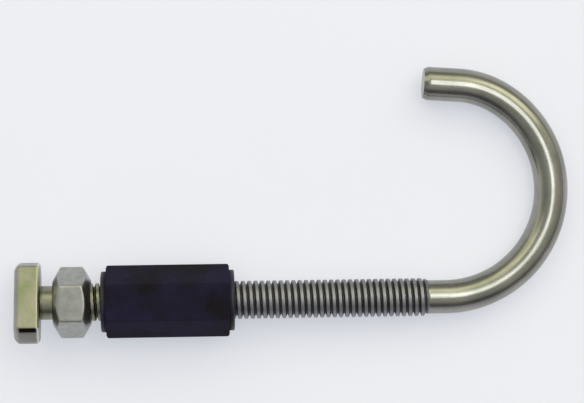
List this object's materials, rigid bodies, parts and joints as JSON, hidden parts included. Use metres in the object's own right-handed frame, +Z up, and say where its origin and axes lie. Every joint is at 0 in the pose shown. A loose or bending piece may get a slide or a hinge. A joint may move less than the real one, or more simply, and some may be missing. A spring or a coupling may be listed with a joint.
{
  "type": "plant hook",
  "caption": "Plant hook: a bolt with a cropped head and a nut clamps to a greenhouse bar, and a hexagon coupler joins it to a threaded J hook that carries a hanging pot.",
  "frame": {"origin": "on the table under the middle of the object's length and width, as it lies at rest", "axes": "+X from the bolt's head towards the bend, along the screw axis as seen from above; +Y towards the hook's tip; +Z up. The screw axis dips by 2.6 degrees towards the bend"},
  "size_m": [0.088, 0.043, 0.0111],
  "materials": {
    "rod_steel": "bright zinc-plated rod with a rolled thread",
    "coupler_plastic": "black moulded nylon, slightly shiny",
    "nut_zinc": "dull zinc plate",
    "bolt_zinc": "zinc plate with a faint olive tint"
  },
  "bodies": {
    "bolt": {"bolt": "bolt_zinc"},
    "nut": {"nut": "nut_zinc"},
    "coupler": {"coupler": "coupler_plastic"},
    "hook": {"hook": "rod_steel"}
  },
  "joints": [
    {"name": "nut_travel", "type": "slide", "parent": "bolt", "child": "nut", "axis": [0.999, 0, -0.0451], "range_m": [-0.00195, 0.0015]},
    {"name": "coupler_turn", "type": "hinge", "parent": "bolt", "child": "coupler", "pos_m": [-0.03026, -0.01511, 0.00591], "axis": [0.999, 0, -0.0451], "range_deg": [-180, 180]},
    {"name": "hook_turn", "type": "hinge", "parent": "coupler", "child": "hook", "pos_m": [-0.01852, -0.01511, 0.00538], "axis": [0.999, 0, -0.0451], "range_deg": [-180, 180]}
  ]
}
